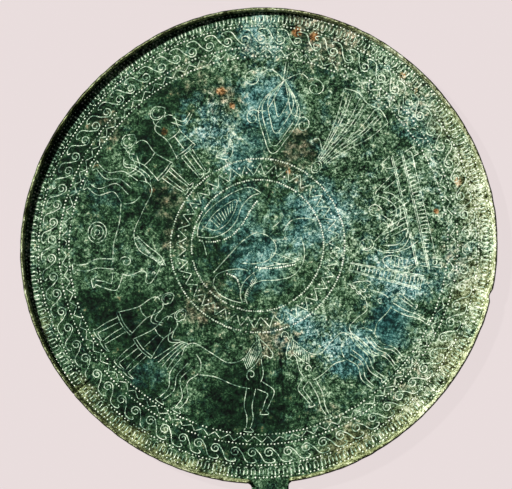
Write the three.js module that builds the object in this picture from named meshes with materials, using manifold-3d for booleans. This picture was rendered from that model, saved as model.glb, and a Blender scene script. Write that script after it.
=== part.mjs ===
// An Etruscan hand mirror of bronze, cast and hammered in one piece: a round disc with a raised rim, and a tang
// that a handle of bone or wood was once pushed onto. The polished side lies down and the engraved side is up.
// Millimetres, +Z up, the tang along -Y, the origin on the resting face under the middle of the disc.
import * as THREE from "three";
import { mergeVertices } from "three/addons/utils/BufferGeometryUtils.js";
import Module from "manifold-3d";

const wasm = await Module();
wasm.setup();

// The disc: its engraved face is flat, and its polished underside is flat in the middle and rises to the edge.
const DISC_RADIUS = 85;
const DISC_SIDES = 80;
const PLATE_THICKNESS = 2.6;
const REST_RADIUS = 58;
const EDGE_LIFT = 0.9;
// Hammering left the outline a little off round: order, height of the wave, and phase in degrees.
const OUTLINE_WAVES = [
  [1, 1.01, -16],
  [2, 0.58, 76],
  [3, 0.35, -158],
  [4, 0.43, -3],
];

// The rim stands up round the face: a narrow crest, and a slope down to the face.
const RIM_HEIGHT = 2.4;
const CREST_ROUNDING = 0.4;
const CREST_WIDTH = 0.5;
const SLOPE_WIDTH = 0.9;
const EDGE_HEIGHT = 1;
const FACE_RADIUS = DISC_RADIUS - CREST_ROUNDING - CREST_WIDTH - SLOPE_WIDTH;

// The tang runs out level with the face, where the rim is left open for it.
const TANG_LENGTH = 46;
const TANG_ROOT_WIDTH = 13.2;
const TANG_TIP_WIDTH = 6.4;
const TANG_TIP_THICKNESS = 1.6;
const TANG_INNER = DISC_RADIUS - 6;
const TANG_SHOULDER = DISC_RADIUS + 3;
const RIM_END_SLOPE = 1.4;

// Old damage: a crack that runs in from the rim, and a small piece lost from the edge. Angles in degrees.
const CRACK = { angle: -144.3, length: 8.5, mouth: 0.5, end: 0.14 };
const CHIP = { angle: -15, width: 4.6, depth: 0.9 };

// The engraving: grooves of V section, which run out to a point at their ends.
const GROOVE_WIDTH = 0.6;
const GROOVE_DEPTH = 0.3;
const LEAST_MITRE = 0.4;

// Bands of border ornament, as the radii between which they run.
const TONGUES = { count: 180, outer: 82.2, inner: 79.4 };
const SCROLLS = { count: 72, outer: 77.3, inner: 72.2 };
const OUTER_ZIGZAG = { count: 90, outer: 69.9, inner: 68.1 };
const INNER_ZIGZAG = { count: 36, outer: 29.3, inner: 25.6 };
// The frieze between the borders: its figures stand on the outer one, heads to the middle of the disc.
const FRIEZE_GROUND = 66;
const FRIEZE_MIDDLE = 51;
const FRIEZE_HEIGHT = 33;

const bronze = new THREE.MeshStandardMaterial({ color: 0x3d6353, roughness: 0.75, metalness: 0.25 });

const radians = THREE.MathUtils.degToRad;

// Moves a point of the true circle to the hammered outline.
function hammered([x, y]) {
  const angle = Math.atan2(y, x);
  let growth = 0;
  for (const [order, height, phase] of OUTLINE_WAVES) {
    growth += height * Math.cos(order * angle - radians(phase));
  }
  const scale = 1 + growth / DISC_RADIUS;
  return [x * scale, y * scale];
}

function polar(radius, angle) {
  return [radius * Math.cos(angle), radius * Math.sin(angle)];
}

// ---- A closed geometry becomes a solid that can be cut and joined, and a geometry again.

function solidOf(geometry) {
  const bare = new THREE.BufferGeometry();
  bare.setAttribute("position", geometry.getAttribute("position"));
  bare.setIndex(geometry.getIndex());
  const merged = mergeVertices(bare, 1e-4);
  const index = merged.getIndex().array;
  const triangles = [];
  for (let i = 0; i < index.length; i += 3) {
    const [a, b, c] = index.slice(i, i + 3);
    if (a !== b && b !== c && c !== a) triangles.push(a, b, c);
  }
  const mesh = new wasm.Mesh({
    numProp: 3,
    vertProperties: merged.getAttribute("position").array,
    triVerts: Uint32Array.from(triangles),
  });
  return new wasm.Manifold(mesh);
}

function geometryOf(solid) {
  const mesh = solid.getMesh();
  const geometry = new THREE.BufferGeometry();
  geometry.setAttribute("position", new THREE.BufferAttribute(mesh.vertProperties, 3));
  geometry.setIndex(new THREE.BufferAttribute(mesh.triVerts, 1));
  geometry.computeVertexNormals();
  return geometry;
}

function shapeOf(points) {
  return new THREE.Shape(points.map(([x, y]) => new THREE.Vector2(x, y)));
}

function extruded(shape, depth) {
  return new THREE.ExtrudeGeometry(shape, { depth, bevelEnabled: false, curveSegments: 10 });
}

// ---- The disc, turned from its profile and then hammered a little off round.

function disc() {
  const top = PLATE_THICKNESS + RIM_HEIGHT;
  const crestOuter = DISC_RADIUS - CREST_ROUNDING;
  const crestInner = crestOuter - CREST_WIDTH;
  const profile = [
    [0, 0],
    [REST_RADIUS, 0],
    [DISC_RADIUS - 0.8, EDGE_LIFT],
    [DISC_RADIUS, EDGE_LIFT + EDGE_HEIGHT],
    [DISC_RADIUS, top - CREST_ROUNDING],
    [crestOuter, top],
    [crestInner, top - 0.15],
    [FACE_RADIUS + 0.3, PLATE_THICKNESS + 0.35],
    [FACE_RADIUS, PLATE_THICKNESS],
    [0, PLATE_THICKNESS],
  ].map(([radius, height]) => new THREE.Vector2(radius, height));
  const geometry = new THREE.LatheGeometry(profile, DISC_SIDES);
  geometry.rotateX(Math.PI / 2);
  const position = geometry.getAttribute("position");
  for (let i = 0; i < position.count; i++) {
    position.setXY(i, ...hammered([position.getX(i), position.getY(i)]));
  }
  return solidOf(geometry);
}

// ---- The tang: what is inside both its outline from above and its outline from the side.

function tang() {
  const tip = DISC_RADIUS + TANG_LENGTH;
  const rootHalf = TANG_ROOT_WIDTH / 2;
  const tipHalf = TANG_TIP_WIDTH / 2;
  const plan = new THREE.Shape();
  plan.moveTo(-rootHalf, -TANG_INNER);
  plan.lineTo(-rootHalf, -TANG_SHOULDER);
  plan.lineTo(-tipHalf, tipHalf - tip);
  plan.absarc(0, tipHalf - tip, tipHalf, Math.PI, 2 * Math.PI, false);
  plan.lineTo(rootHalf, -TANG_SHOULDER);
  plan.lineTo(rootHalf, -TANG_INNER);
  plan.closePath();
  const fromAbove = extruded(plan, 10);
  fromAbove.translate(0, 0, -1);

  const side = shapeOf([
    [TANG_INNER, PLATE_THICKNESS / 2],
    [DISC_RADIUS - 1.5, EDGE_LIFT],
    [tip + 1, PLATE_THICKNESS - TANG_TIP_THICKNESS],
    [tip + 1, PLATE_THICKNESS],
    [TANG_INNER, PLATE_THICKNESS],
  ]);
  const fromSide = extruded(side, 2 * TANG_ROOT_WIDTH);
  fromSide.translate(0, 0, -TANG_ROOT_WIDTH);
  fromSide.rotateX(Math.PI / 2);
  fromSide.rotateZ(-Math.PI / 2);
  return solidOf(fromAbove).intersect(solidOf(fromSide));
}

// The stretch of rim that is left out over the root of the tang. Its two ends slope.
function rimOpening() {
  const half = TANG_ROOT_WIDTH / 2;
  const height = RIM_HEIGHT + 2;
  const spread = half + RIM_END_SLOPE * (height / RIM_HEIGHT);
  const section = shapeOf([
    [-half, 0],
    [half, 0],
    [spread, height],
    [-spread, height],
  ]);
  const geometry = extruded(section, 12);
  geometry.rotateX(Math.PI / 2);
  geometry.translate(0, 2 - FACE_RADIUS, PLATE_THICKNESS);
  return solidOf(geometry);
}

// ---- Damage: outlines drawn on the +X side, cut right through the plate at their angle.

function throughCut(points, angle) {
  const geometry = extruded(shapeOf(points), 20);
  geometry.translate(0, 0, -5);
  geometry.rotateZ(radians(angle));
  return solidOf(geometry);
}

function crack() {
  const inner = DISC_RADIUS - CRACK.length;
  const outer = DISC_RADIUS + 4;
  const corners = [
    [inner, -CRACK.end / 2],
    [outer, -CRACK.mouth / 2],
    [outer, CRACK.mouth / 2],
    [inner, CRACK.end / 2],
  ];
  return throughCut(corners, CRACK.angle);
}

function chip() {
  const edge = Math.hypot(...hammered(polar(DISC_RADIUS, radians(CHIP.angle))));
  const half = CHIP.width / 2;
  const corners = [
    [edge + 1, -half - 1],
    [edge + 1, half + 1],
    [edge - CHIP.depth * 0.5, half * 0.5],
    [edge - CHIP.depth, 0],
    [edge - CHIP.depth * 0.8, -half * 0.4],
  ];
  return throughCut(corners, CHIP.angle);
}

// ---- Engraving: each line, a list of [x, y] points on the face, is cut by a wedge with its top in the face.

function groove(line) {
  const ends = line.length === 2 ? [line[0], midpoint(...line), line[1]] : line;
  const points = ends.map((point) => new THREE.Vector2(...hammered(point)));
  const count = points.length;
  const steps = line.closed ? count : count - 1;
  const normals = Array.from({ length: steps }, (_, i) => {
    const along = points[(i + 1) % count].clone().sub(points[i]).normalize();
    return new THREE.Vector2(-along.y, along.x);
  });
  const vertices = [];
  points.forEach((point, i) => {
    const before = normals[line.closed ? (i + count - 1) % count : Math.max(i - 1, 0)];
    const after = normals[Math.min(i, steps - 1)];
    const runsOut = !line.closed && (i === 0 || i === count - 1);
    const share = runsOut ? 0 : 1;
    const mitre = before.clone().add(after);
    mitre.multiplyScalar((share * GROOVE_WIDTH) / 2 / Math.max(1 + before.dot(after), LEAST_MITRE));
    vertices.push(point.x + mitre.x, point.y + mitre.y, PLATE_THICKNESS);
    vertices.push(point.x - mitre.x, point.y - mitre.y, PLATE_THICKNESS);
    vertices.push(point.x, point.y, PLATE_THICKNESS - share * GROOVE_DEPTH);
  });
  const triangles = [];
  for (let i = 0; i < steps; i++) {
    const from = 3 * i;
    const to = 3 * ((i + 1) % count);
    for (let a = 0; a < 3; a++) {
      const b = (a + 1) % 3;
      triangles.push(from + a, from + b, to + b, from + a, to + b, to + a);
    }
  }
  const geometry = new THREE.BufferGeometry();
  geometry.setAttribute("position", new THREE.Float32BufferAttribute(vertices, 3));
  geometry.setIndex(triangles);
  return solidOf(geometry);
}

function midpoint([x0, y0], [x1, y1]) {
  return [(x0 + x1) / 2, (y0 + y1) / 2];
}

function arc([u, v], [uRadius, vRadius], start, end, pieces) {
  return Array.from({ length: pieces + 1 }, (_, i) => {
    const angle = radians(start + ((end - start) * i) / pieces);
    return [u + uRadius * Math.cos(angle), v + vRadius * Math.sin(angle)];
  });
}

function circle(centre, radius, pieces) {
  const line = arc(centre, [radius, radius], 0, 360, pieces).slice(1);
  line.closed = true;
  return line;
}

// Moves every point of a line and keeps it closed if it was.
function moved(line, move) {
  const copy = line.map(move);
  copy.closed = line.closed;
  return copy;
}

// ---- The borders.

function tongues() {
  return Array.from({ length: TONGUES.count }, (_, i) => {
    const angle = (2 * Math.PI * i) / TONGUES.count;
    return [polar(TONGUES.outer, angle), polar(TONGUES.inner, angle)];
  });
}

// A running scroll: each wave breaks at the outer side, crosses the band, and curls in under the next one.
function scrolls() {
  const height = SCROLLS.outer - SCROLLS.inner;
  const pitch = (2 * Math.PI * SCROLLS.outer) / SCROLLS.count;
  const crest = arc([0, 0.19 * height], [0.3 * pitch, 0.19 * height], -10, 160, 3);
  const curl = arc([0.98 * pitch, 0.73 * height], [0.26 * pitch, 0.27 * height], 220, 440, 3);
  const wave = [...crest.reverse(), ...curl].map(([u, v]) => [-u, v]);
  return Array.from({ length: SCROLLS.count }, (_, i) => {
    const angle = (2 * Math.PI * i) / SCROLLS.count;
    return wave.map(([u, v]) => polar(SCROLLS.outer - v, angle + u / SCROLLS.outer));
  });
}

function zigzag({ count, outer, inner }) {
  const line = Array.from({ length: 2 * count }, (_, i) => polar(i % 2 ? outer : inner, (Math.PI * i) / count));
  line.closed = true;
  return line;
}

// ---- Figures, each a list of lines drawn with u to the right and v up from the ground that it stands on.

// A four-footed animal that faces right, from its rump at 0 to its muzzle.
function beast({ length, height, mane = 0 }) {
  const lines = [
    [[0.03, 0.5], [0, 0.66], [0.08, 0.74], [0.42, 0.69], [0.64, 0.75], [0.76, 0.93], [0.84, 1]],
    [[0.85, 1], [1, 0.82], [0.96, 0.75], [0.87, 0.8], [0.83, 0.5]],
    [[0.72, 0.46], [0.42, 0.5], [0.2, 0.45]],
    [[-0.01, 0.7], [-0.09, 0.56], [-0.07, 0.22]],
  ];
  const legs = [
    [[0.03, 0.48], [0.04, 0.26], [0.08, 0]],
    [[0.15, 0.45], [0.13, 0.26], [0.22, 0]],
    [[0.74, 0.46], [0.7, 0.24], [0.68, 0]],
    [[0.84, 0.5], [0.91, 0.34], [0.83, 0.2]],
  ];
  for (const leg of legs) lines.push(leg, leg.map(([u, v]) => [u + 0.04, v]));
  for (let i = 0; i < mane; i++) {
    const share = i / mane;
    lines.push([[0.65 + 0.13 * share, 0.72 + 0.2 * share], [0.76 + 0.08 * share, 0.64 + 0.22 * share]]);
  }
  return lines.map((line) => line.map(([u, v]) => [u * length, v * height]));
}

// A person in a long dress, seen from the front.
function person({ height, width, hem, pleats = 0 }) {
  const half = width / 2;
  const head = 0.08 * height;
  const lines = [
    circle([0, height - head], head, 6),
    [[-half, hem], [half, hem]],
  ];
  for (const side of [-1, 1]) {
    lines.push([
      [side * half, hem + 0.4],
      [side * 0.5 * half, 0.6 * height],
      [side * 0.8 * half, 0.78 * height],
      [side * 0.2 * half, 0.83 * height],
    ]);
    lines.push([
      [side * 0.35 * half, hem - 0.5],
      [side * 0.3 * half, 1],
      [side * 0.3 * half + 2, 0.6],
    ]);
  }
  for (let i = 1; i <= pleats; i++) {
    const u = half * ((2 * i) / (pleats + 1) - 1);
    lines.push([[u, hem + 0.6], [0.5 * u, 0.74 * height]]);
  }
  return lines;
}

// Two rails with rungs between them.
function ladder({ width, bottom, top, rungs }) {
  const lines = [0, width].map((u) => [[u, bottom], [u, top]]);
  for (let i = 0; i < rungs; i++) {
    const v = bottom + ((i + 0.5) / rungs) * (top - bottom);
    lines.push([[0.4, v], [width - 0.4, v]]);
  }
  return lines;
}

// A person who lies on a couch, propped on one elbow. The heights are those of the legs, mattress and head.
function banqueter({ length, frame, mattress, head }) {
  const lines = [
    [[0, frame], [length, frame]],
    [[0, mattress], [length, mattress]],
    [[0, mattress + 0.6], [-1, 0.6 * head], [2, 0.75 * head]],
    circle([0.18 * length, head - 2.7], 2.7, 6),
    [[0.2 * length, 0.8 * head], [0.33 * length, 0.7 * head], [0.54 * length, 0.5 * head]],
    [[0.54 * length, 0.48 * head], [0.7 * length, 0.64 * head], [0.84 * length, mattress + 0.6]],
    [[0.12 * length, 0.78 * head], [0.14 * length, 0.5 * head], [0.25 * length, mattress + 0.6]],
    [[0.3 * length, 0.68 * head], [0.38 * length, 0.48 * head], [0.52 * length, 0.45 * head]],
  ];
  for (const u of [1.5, 4, length - 4, length - 1.5]) lines.push([[u, frame - 0.6], [u, 0]]);
  return lines;
}

// A plant of nested leaves between two volutes.
function plant({ width, height, leaves }) {
  const lines = [];
  for (let i = 0; i < leaves; i++) {
    const half = width * (0.1 + (0.25 * i) / leaves);
    const top = height * (1 - (0.45 * i) / leaves);
    const root = 2 + 2.5 * i;
    lines.push([[-0.6 * half, root], [-half, 0.6 * top], [0, top], [half, 0.6 * top], [0.6 * half, root]]);
  }
  const volute = arc([0.38 * width, 0.25 * height], [0.11 * width, 0.12 * height], -120, 180, 6);
  return [...lines, volute, ...mirrored([volute])];
}

// A long-necked water bird that faces right, from its tail at 0 to its beak.
function bird({ length }) {
  const lines = [
    [[0, 0.22], [0.28, 0.36], [0.52, 0.36], [0.64, 0.5], [0.62, 0.72], [0.76, 0.8], [1, 0.66]],
    [[0.03, 0.18], [0.34, 0.1], [0.62, 0.16], [0.78, 0.42], [0.74, 0.6], [0.82, 0.68], [0.97, 0.64]],
    [[0.1, 0.24], [0.4, 0.2], [0.56, 0.3]],
    [[0.4, 0.08], [0.42, -0.06], [0.5, -0.08]],
  ];
  return lines.map((line) => line.map(([u, v]) => [u * length, v * length]));
}

function mirrored(lines) {
  return lines.map((line) => moved(line, ([u, v]) => [-u, v]));
}

function headOutwards(lines) {
  return lines.map((line) => moved(line, ([u, v]) => [-u, FRIEZE_HEIGHT - v]));
}

// The frieze: the angle in degrees at which each drawing has its u of 0, round the disc.
const FRIEZE = [
  [-213, beast({ length: 45, height: 33, mane: 4 })],
  [-197, [circle([6, 7], 4, 8)]],
  [-152.8, person({ height: 31, width: 8, hem: 10 })],
  [-141.2, person({ height: 31, width: 8, hem: 10 })],
  [-127, beast({ length: 39, height: 34 })],
  [-48, mirrored(beast({ length: 28, height: 32, mane: 3 }))],
  [-46, beast({ length: 23, height: 30, mane: 3 })],
  [-18.3, ladder({ width: 4.4, bottom: 6, top: 33, rungs: 9 })],
  [-11, banqueter({ length: 37, frame: 6, mattress: 9, head: 30 })],
  [49, person({ height: 33, width: 16, hem: 5, pleats: 3 })],
  [77.5, plant({ width: 28, height: 32, leaves: 3 })],
  [95, bird({ length: 17 })],
  [123.7, headOutwards(person({ height: 31, width: 10, hem: 11, pleats: 2 }))],
  [137.3, headOutwards(person({ height: 31, width: 10, hem: 11 }))],
];

// The medallion: where each drawing has its u and v of 0, and by how many degrees it is turned.
const MEDALLION = [
  [[3, 16], 38, mirrored(bird({ length: 26 }))],
  [[-13, -17], 14, bird({ length: 31 })],
];

function figures() {
  const standing = FRIEZE.flatMap(([degrees, drawing]) => {
    const place = ([u, v]) => polar(FRIEZE_GROUND - v, radians(degrees) + u / FRIEZE_MIDDLE);
    return drawing.map((line) => moved(line, place));
  });
  const swimming = MEDALLION.flatMap(([[x, y], degrees, drawing]) => {
    const [cos, sin] = polar(1, radians(degrees));
    const place = ([u, v]) => [x + u * cos - v * sin, y + u * sin + v * cos];
    return drawing.map((line) => moved(line, place));
  });
  return [...standing, ...swimming];
}

// ---- The mirror.

function mirror() {
  const lines = [...tongues(), ...scrolls(), zigzag(OUTER_ZIGZAG), zigzag(INNER_ZIGZAG), ...figures()];
  const cuts = wasm.Manifold.union([crack(), chip(), ...lines.map(groove)]);
  return disc().subtract(rimOpening()).add(tang()).subtract(cuts);
}

const group = new THREE.Group();
const mesh = new THREE.Mesh(geometryOf(mirror()), bronze);
mesh.name = "mirror";
group.add(mesh);

export default group;
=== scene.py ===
# An Etruscan hand mirror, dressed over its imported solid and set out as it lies: polished side down on a pale
# floor, engraved side up. Lengths are millimetres while a form is worked out, and metres once it is a mesh.
import math
import random

import bpy
import numpy as np
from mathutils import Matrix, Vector, kdtree, noise
from mathutils.geometry import delaunay_2d_cdt


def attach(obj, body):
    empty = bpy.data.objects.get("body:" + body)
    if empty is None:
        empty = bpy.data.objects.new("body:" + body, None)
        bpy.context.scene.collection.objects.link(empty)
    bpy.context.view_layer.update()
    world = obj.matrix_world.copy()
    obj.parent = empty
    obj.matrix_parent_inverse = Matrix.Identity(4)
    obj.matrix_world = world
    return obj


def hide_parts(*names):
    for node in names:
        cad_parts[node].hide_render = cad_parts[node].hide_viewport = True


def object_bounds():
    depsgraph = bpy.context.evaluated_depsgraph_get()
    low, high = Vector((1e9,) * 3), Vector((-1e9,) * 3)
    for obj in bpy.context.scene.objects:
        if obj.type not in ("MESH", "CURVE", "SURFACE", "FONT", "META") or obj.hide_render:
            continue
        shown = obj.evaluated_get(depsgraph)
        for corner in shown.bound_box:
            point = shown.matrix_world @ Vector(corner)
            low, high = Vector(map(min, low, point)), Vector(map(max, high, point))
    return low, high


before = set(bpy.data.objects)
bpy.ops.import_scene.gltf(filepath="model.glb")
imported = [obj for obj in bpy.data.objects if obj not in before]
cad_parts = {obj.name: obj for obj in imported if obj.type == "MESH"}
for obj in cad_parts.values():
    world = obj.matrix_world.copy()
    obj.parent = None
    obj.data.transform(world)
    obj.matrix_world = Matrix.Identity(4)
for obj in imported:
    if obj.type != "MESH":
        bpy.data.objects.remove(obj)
cad_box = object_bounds()


# ---- The line work -------------------------------------------------------------------------------
# The engraver cut the borders, the frieze and the medallion into the bronze with a burin, as grooves a
# quarter to half a millimetre wide. A drawing here is a list of lines, each a list of points in millimetres:
# u runs to the right, and v up from the ground that a figure stands on.

LINE_STEP = 0.8
FINE = 0.23
PLAIN = 0.28
BOLD = 0.42


def smooth(points, step=LINE_STEP):
    """A curve through the points, by Catmull and Rom's rule, with a point about every step."""
    knots = np.array(points, dtype=float)
    knots = np.vstack([2 * knots[0] - knots[1], knots, 2 * knots[-1] - knots[-2]])
    out = []
    for p0, p1, p2, p3 in zip(knots, knots[1:], knots[2:], knots[3:]):
        pieces = max(1, round(np.linalg.norm(p2 - p1) / step))
        for t in np.arange(pieces) / pieces:
            out.append(0.5 * (2 * p1 + (p2 - p0) * t + (2 * p0 - 5 * p1 + 4 * p2 - p3) * t**2
                              + (3 * p1 - p0 - 3 * p2 + p3) * t**3))
    out.append(knots[-2])
    return np.array(out)


def arc(centre, radius, start, end, radius_end=None, step=LINE_STEP):
    """An arc in degrees, or a spiral where radius_end differs."""
    last = radius if radius_end is None else radius_end
    turn = math.radians(abs(end - start))
    pieces = max(3, round(turn * (radius + last) / 2 / min(step, 0.45 * radius + 0.1)))
    share = np.linspace(0, 1, pieces + 1)
    angles = np.radians(start + (end - start) * share)
    radii = radius + (last - radius) * share
    return np.column_stack([centre[0] + radii * np.cos(angles), centre[1] + radii * np.sin(angles)])


def hatch(first, last, count):
    """Short strokes side by side: first and last are the two end strokes."""
    first, last = np.array(first, dtype=float), np.array(last, dtype=float)
    return [first + (last - first) * share for share in np.linspace(0, 1, count)]


def limb(joints, widths):
    """The two outlines of a leg or an arm, from its joints and its width at each."""
    spine = np.array(joints, dtype=float)
    along = np.gradient(spine, axis=0)
    along /= np.linalg.norm(along, axis=1)[:, None]
    across = np.column_stack([-along[:, 1], along[:, 0]]) * (np.array(widths) / 2)[:, None]
    return [smooth(spine + across), smooth(spine - across)]


def animal(length, height, mane, tail="thin", horns=False, rows=9):
    """A four-footed animal that walks to the right with one foreleg lifted, its rump at 0."""
    def at(*points):
        return [(u * length, v * height) for u, v in points]

    def leg(*points):
        widths = np.linspace(0.085, 0.03, len(points)) * length
        return limb(at(*points), widths)

    lines = [
        smooth(at((0, 0.55), (-0.02, 0.66), (0.05, 0.745), (0.28, 0.735), (0.48, 0.7), (0.64, 0.77),
                  (0.75, 0.93), (0.84, 1))),
        smooth(at((0.84, 1), (0.92, 0.94), (1, 0.83), (0.97, 0.785), (0.9, 0.82), (0.855, 0.78), (0.87, 0.63),
                  (0.84, 0.53))),
        smooth(at((0.74, 0.46), (0.6, 0.475), (0.4, 0.51), (0.24, 0.47))),
        smooth(at((0.24, 0.5), (0.2, 0.6), (0.12, 0.65))),
        arc(at((0.745, 0.61))[0], 0.055 * length, 250, -160, 0.012 * length),
        arc(at((0.905, 0.9))[0], 0.013 * length, 0, 300),
        smooth(at((0.8, 0.97), (0.79, 1.05), (0.84, 1))),
        *leg((0.05, 0.53), (0.03, 0.34), (0.08, 0.19), (0.05, 0.03)),
        *leg((0.19, 0.49), (0.14, 0.33), (0.21, 0.18), (0.19, 0.03)),
        *leg((0.75, 0.47), (0.73, 0.28), (0.75, 0.15), (0.74, 0.03)),
        *leg((0.83, 0.5), (0.93, 0.42), (0.9, 0.33), (0.86, 0.22)),
    ]
    for u, v in ((0.05, 0.03), (0.19, 0.03), (0.74, 0.03), (0.86, 0.22)):
        lines.append(smooth(at((u - 0.02, v), (u - 0.03, v - 0.035), (u + 0.04, v - 0.035), (u + 0.02, v))))
    if tail == "thin":
        lines.append(smooth(at((-0.02, 0.68), (-0.08, 0.62), (-0.09, 0.42), (-0.06, 0.3), (-0.1, 0.24))))
        lines.append(smooth(at((-0.01, 0.64), (-0.06, 0.56), (-0.065, 0.42), (-0.04, 0.31), (-0.1, 0.24))))
    else:
        for bow in (0, 0.025, 0.05, 0.075):
            lines.append(smooth(at((-0.01, 0.7), (-0.1 + bow, 0.66), (-0.15 + 1.4 * bow, 0.5),
                                   (-0.19 + 2 * bow, 0.33))))
    if mane == "hatched":
        lines += hatch(at((0.64, 0.77), (0.7, 0.66)), at((0.83, 0.99), (0.87, 0.86)), rows)
        lines.append(smooth(at((0.7, 0.64), (0.79, 0.73), (0.87, 0.85))))
    if mane == "crest":
        lines.append(smooth(at((0.5, 0.74), (0.6, 0.87), (0.72, 1.01), (0.86, 1.06))))
        lines += hatch(at((0.52, 0.71), (0.53, 0.77)), at((0.83, 1), (0.84, 1.05)), 2 * rows)
    if mane == "curls":
        for u, v in ((0.66, 0.8), (0.72, 0.88), (0.78, 0.96), (0.74, 0.76), (0.8, 0.84)):
            lines.append(arc(at((u, v))[0], 0.05 * length, 90, 480, 0.01 * length))
    if horns:
        lines.append(smooth(at((0.85, 1), (0.86, 1.08), (0.95, 1.1), (1, 1.04))))
        lines.append(smooth(at((0.87, 0.99), (0.89, 1.04), (0.96, 1.05))))
    return lines


def person(height, width, hem, pleats, arm=1):
    """Someone in a long dress who walks to the right. The face is a plain profile."""
    half = width / 2
    head = 0.075 * height
    neck = height - 2.2 * head
    crown = (0.1, height - head)
    lines = [
        arc(crown, head, 60, 300),
        smooth([(0.5 * head, height - 0.2 * head), (head, height - 0.7 * head),
                (1.25 * head, height - 1.15 * head), (head, height - 1.35 * head),
                (0.95 * head, height - 1.75 * head), (0.4 * head, neck)]),
        arc(crown, 0.7 * head, 80, 280),
        arc((0.45 * head, height - 0.85 * head), 0.13 * head, 0, 300),
        smooth([(-0.9 * head, height - 1.2 * head), (-1.2 * head, neck), (-0.8 * head, neck - 0.9 * head)]),
        smooth([(-0.4 * head, neck), (-0.5 * half, 0.83 * height), (-0.8 * half, 0.77 * height),
                (-0.62 * half, 0.6 * height), (-0.8 * half, 0.45 * height), (-half, hem)]),
        smooth([(0.4 * head, neck), (0.5 * half, 0.83 * height), (0.76 * half, 0.76 * height),
                (0.6 * half, 0.6 * height), (0.8 * half, 0.45 * height), (half, hem)]),
        smooth([(-half, hem), (0, hem - 0.5), (half, hem)]),
        smooth([(-0.97 * half, hem + 1), (0, hem + 0.5), (0.97 * half, hem + 1)]),
        smooth([(-0.6 * half, 0.6 * height), (0, 0.585 * height), (0.6 * half, 0.6 * height)]),
        *limb([(0.5 * half * arm, 0.76 * height), (1.1 * half * arm, 0.64 * height),
               (1.9 * half * arm, 0.7 * height)], [1.8, 1.5, 0.9]),
    ]
    for u in (-0.45 * half, 0.4 * half):
        lines += limb([(u, hem - 0.4), (u - 0.1, 0.5 * hem), (u, 1)], [1.7, 1.6, 1])
        lines.append(smooth([(u - 0.8, 0.9), (u - 0.8, 0.1), (u + 1.6, 0.1), (u + 3, 0.9), (u + 1, 0.9),
                             (u + 0.5, 1.3)]))
    for i in range(pleats):
        share = 2 * (i + 1) / (pleats + 1) - 1
        lines.append(smooth([(share * half, hem + 1.2), (0.72 * share * half, 0.45 * height),
                             (0.6 * share * half, 0.58 * height)]))
    return lines


def robe(height, width, folds):
    """A standing figure wrapped in a mantle that falls in long folds."""
    half = width / 2
    lines = []
    for i in range(folds + 1):
        share = 2 * i / folds - 1
        lines.append(smooth([(share * half, 2.5), (0.8 * share * half - 0.8, 0.35 * height),
                             (0.45 * share * half, 0.68 * height),
                             (0.3 * share * half + 0.5, 0.84 * height)]))
        if i % 2:
            lines.append(smooth([(share * half + 0.9, 3), (0.8 * share * half + 0.1, 0.35 * height),
                                 (0.45 * share * half + 0.8, 0.62 * height)]))
    lines += [
        smooth([(-half, 2.5), (-0.5 * half, 1.2), (0, 2.4), (0.5 * half, 1.2), (half, 2.5)]),
        smooth([(-0.3 * half, 0.84 * height), (0, 0.79 * height), (0.4 * half, 0.84 * height)]),
        arc((0.8, 0.92 * height), 2.3, 0, 360),
        arc((0.8, 0.92 * height), 1.5, 60, 300),
        smooth([(0.4 * half, 0.75 * height), (0.9 * half, 0.66 * height), (1.25 * half, 0.74 * height)]),
    ]
    return lines


def ladder(width, bottom, top, rungs):
    """Two rails with rungs between them, a band of matting seen from its end."""
    rails = [[(u, bottom), (u, top)] for u in (0, 0.5, width - 0.5, width)]
    return rails + hatch([(0.6, bottom + 0.6), (width - 0.6, bottom + 0.6)],
                         [(0.6, top - 0.6), (width - 0.6, top - 0.6)], rungs)


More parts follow.
